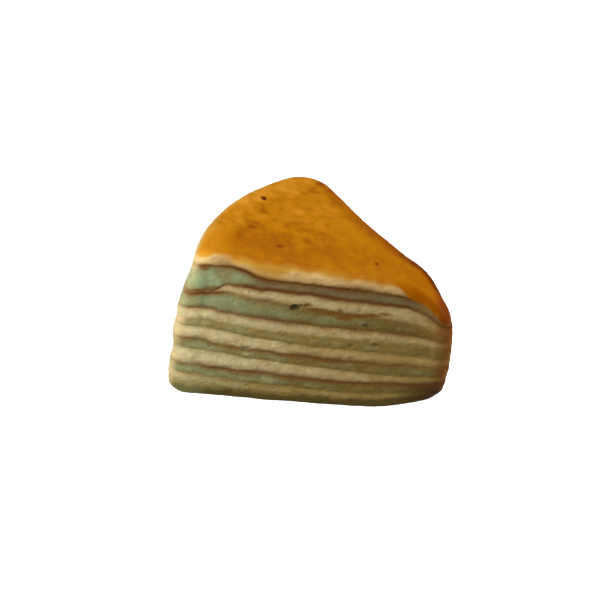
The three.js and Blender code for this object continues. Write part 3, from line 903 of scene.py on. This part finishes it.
# How much darker the crust is at the edge of the top, where beside the edge that starts, and how wide the
# change is. It is partly deeper baking at the tip and the back, and partly painted shade, most on the front
# and rim shoulders that turn to the key light.
DEEPER_AND_SHADED_EDGE = {"front": 0.20, "tip": 0.44, "back": 0.30, "rim": 0.10}
DARK_EDGE_START = {"front": -1.0, "tip": -7.0, "back": -6.5, "rim": -2.0}
DARK_EDGE_WIDTH = {"front": 2.0, "tip": 8.0, "back": 7.5, "rim": 4.0}
# The depth over which the wash turns golden, and patches in that
GOLD_DEPTH = (-0.4, 1.7)
GOLD_PATCHES = [(0.5, 3.5, 73)]
# Spacing of the points round the top, the rows up its wall, which crowd towards the edge, the rings over
# it, the innermost one as a share of the outermost, and how far below the edge the underside counts
TOP_STEP = 0.42
TOP_WALL_ROWS = 34
TOP_ROW_CROWDING = 1.6
TOP_RINGS = 104
INNERMOST_RING = 0.01
UNDERSIDE_DEPTH = 99.0

order = list(LAYERS).index("cream_6")
top_side = Side(TOP_STEP)
even_levels = np.linspace(0.0, 1.0, TOP_WALL_ROWS)
top_levels = 1 - (1 - even_levels) ** TOP_ROW_CROWDING
low = top_side.seams[order] + HALF_GAP
height = low + (top_side.seams[order + 1] - low) * top_levels[:, None]
depth = top_side.seams[order + 1] - height
push, amounts = crumb(top_side, order, height)
crust, gold = crust_edge(top_side, height)
wall = top_side.points(height, push * (1 - crust))
top_shares = np.linspace(1.0, INNERMOST_RING, TOP_RINGS)[1:]
under = seam_surface(wall[0], order, SEAM_RINGS, HALF_GAP)
over = seam_surface(wall[-1], order + 1, top_shares, 0.0)
rings = np.concatenate([under, wall, over])

# The relief fades out down the shoulder, and the dark edge follows the distance from the edge of the top
on_wall = smooth(1 - depth / top_side.shoulder_depth, 0.0, 1.0)
on_top = np.concatenate([np.zeros(under.shape[:2]), on_wall, np.ones(over.shape[:2])])
rings[..., 2] += on_top * crust_relief(rings)
to_edge = (1 - top_shares)[:, None] * np.linalg.norm(wall[-1][:, :2] - SLICE_MIDDLE, axis=-1)
beside = np.concatenate([np.full(under.shape[:2], UNDERSIDE_DEPTH), depth, -to_edge])
edge_start = around_sides(top_side.place, DARK_EDGE_START)
edge_end = edge_start + around_sides(top_side.place, DARK_EDGE_WIDTH)
deeper_and_shaded_edge = around_sides(top_side.place, DEEPER_AND_SHADED_EDGE) * smooth(beside, edge_start, edge_end)

padding = ((len(under), len(over)), (0, 0))
amounts = {finish: np.pad(amount, padding, mode="edge") for finish, amount in amounts.items()}
amounts["crust"] = np.pad(crust, padding, constant_values=((0.0, 1.0), (0.0, 0.0)))
amounts["baked"] = np.clip(baking(rings) + deeper_and_shaded_edge, 0.0, 1.0)
amounts["gilded"] = gold * smooth(beside + uneven(rings, GOLD_PATCHES), *GOLD_DEPTH)
top_layer = closed_skin("cream_6_crust", rings, amounts)

# Golden baked crust over butter sponge: satin and smooth, mottled from pale gold to deep brown
CRUST_TONES = {
    0.0: "#d49630",
    0.15: "#d08c1e",
    0.3: "#c5800d",
    0.45: "#ba7800",
    0.6: "#ab6700",
    0.75: "#9a5300",
    1.0: "#5a2700",
}
GOLDEN_WASH = "#bd9238"
TOP_BATTER = {"dull_and_shaded": "#b8935a", "fresh_and_lit": "#d6b980"}
browned_crust = bpy.data.materials.new("browned crust")
browned_crust.use_nodes = True
tree = browned_crust.node_tree
tree.nodes.clear()
crumb_tone, grains = crumb_colour(tree, TOP_BATTER, PANDAN_BATTER)
baked = add(tree, "Attribute", {}, attribute_name="baked").outputs["Fac"]
gilded = add(tree, "Attribute", {}, attribute_name="gilded").outputs["Fac"]
whole = add(tree, "Attribute", {}, attribute_name="crust").outputs["Fac"]
ramp = add(tree, "ValToRGB", {"Fac": baked})
stops = ramp.color_ramp.elements
while len(stops) < len(CRUST_TONES):
    stops.new(0.5)
for stop, (position, tone) in zip(stops, CRUST_TONES.items()):
    stop.position = position
    stop.color = linear(tone)
tones = {FACTOR: gilded, FIRST: ramp.outputs["Color"], SECOND: linear(GOLDEN_WASH)}
crust_tone = add(tree, "Mix", tones, data_type="RGBA").outputs[RESULT]
tones = {FACTOR: whole, FIRST: crumb_tone, SECOND: crust_tone}
satin = {"Value": whole, "To Min": 0.8, "To Max": 0.48}
bump = add(tree, "Bump", {"Height": grains, "Strength": 0.2, "Distance": 0.2 * MM})
inputs = {
    "Base Color": add(tree, "Mix", tones, data_type="RGBA").outputs[RESULT],
    "Roughness": add(tree, "MapRange", satin).outputs["Result"],
    "IOR": 1.4,
    "Specular IOR Level": 0.04,
    "Normal": bump.outputs["Normal"],
}
shader = add(tree, "BsdfPrincipled", inputs)
add(tree, "OutputMaterial", {"Surface": shader.outputs["BSDF"]})
top_layer.data.materials.append(browned_crust)
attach(top_layer, "root")
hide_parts("cream_6")

# Studio
# A plain pale floor, a soft key light close by on the left, a wide soft light above, two faint warm lights
# from the right, and a camera that looks down on the front cut. Sizes are in metres.

FLOOR_HALF = 3.0
floor_mesh = bpy.data.meshes.new("floor")
corners = [(-FLOOR_HALF, -FLOOR_HALF, 0), (FLOOR_HALF, -FLOOR_HALF, 0), (FLOOR_HALF, FLOOR_HALF, 0)]
floor_mesh.from_pydata([*corners, (-FLOOR_HALF, FLOOR_HALF, 0)], [], [(0, 1, 2, 3)])
floor = bpy.data.objects.new("floor", floor_mesh)
bpy.context.scene.collection.objects.link(floor)
pale = bpy.data.materials.new("matt white board")
pale.use_nodes = True
pale.node_tree.nodes["Principled BSDF"].inputs["Base Color"].default_value = linear("#f2f2f2")
pale.node_tree.nodes["Principled BSDF"].inputs["Roughness"].default_value = 0.9
floor_mesh.materials.append(pale)
# The object is lit as if on a dim table, so the board throws no light back up at it
floor.visible_diffuse = False

# Soft lights that face the slice's middle: place, width, power in watts, tint
LIGHTS_AIM = Vector((0, 0, 0.025))
LIGHTS = {
    "key": ((-0.17, -0.15, 0.11), 0.10, 0.48, "#fffaf2"),
    "overhead": ((0.0, 0.05, 0.7), 0.5, 1.7, "#fffdf8"),
    "warm_fill": ((0.4, -0.35, 0.25), 0.3, 0.35, "#ffd9a0"),
    "warm_side": ((0.42, 0.06, 0.07), 0.2, 0.75, "#ffb060"),
}
for name, (place, width, power, tint) in LIGHTS.items():
    light = bpy.data.lights.new(name, "AREA")
    light.size = width
    light.energy = power
    light.color = linear(tint)[:3]
    lamp = bpy.data.objects.new(name, light)
    lamp.location = place
    lamp.rotation_euler = (LIGHTS_AIM - lamp.location).to_track_quat("-Z", "Y").to_euler()
    lamp.visible_camera = False
    bpy.context.scene.collection.objects.link(lamp)

# A light from straight above for the board alone, which makes it an even white
BOARD_LIGHT = 4.2
board_only = bpy.data.collections.new("board")
board_only.objects.link(floor)
board_light = bpy.data.objects.new("board_light", bpy.data.lights.new("board_light", "SUN"))
board_light.data.energy = BOARD_LIGHT
board_light.light_linking.receiver_collection = board_only
board_light.light_linking.blocker_collection = board_only
bpy.context.scene.collection.objects.link(board_light)

# A pale room, brighter above than below
world = bpy.data.worlds.new("pale room")
world.use_nodes = True
tree = world.node_tree
towards = add(tree, "TexCoord", {}).outputs["Generated"]
rising = add(tree, "SeparateXYZ", {"Vector": towards}).outputs["Z"]
sky = {"Value": rising, "From Min": -0.3, "From Max": 0.7, "To Min": 0.10, "To Max": 0.42}
background = tree.nodes["Background"].inputs
tree.links.new(add(tree, "MapRange", sky).outputs["Result"], background["Strength"])
background["Color"].default_value = linear("#ffffff")
bpy.context.scene.world = world
bpy.context.scene.view_settings.view_transform = "Standard"

AIM = Vector((-0.00411, -0.01068, 0.02329))
DISTANCE = 0.6
AZIMUTH = math.radians(-4.34)
ELEVATION = math.radians(28.97)
ROLL = math.radians(6.85)
FIELD_OF_VIEW = math.radians(18.73)
camera = bpy.data.objects.new("camera", bpy.data.cameras.new("camera"))
camera.data.angle = FIELD_OF_VIEW
level = math.cos(ELEVATION)
back = Vector((math.sin(AZIMUTH) * level, -math.cos(AZIMUTH) * level, math.sin(ELEVATION)))
camera.location = AIM + DISTANCE * back
turn = (-back).to_track_quat("-Z", "Y").to_matrix() @ Matrix.Rotation(ROLL, 3, "Z")
camera.rotation_euler = turn.to_euler()
bpy.context.scene.collection.objects.link(camera)
bpy.context.scene.camera = camera
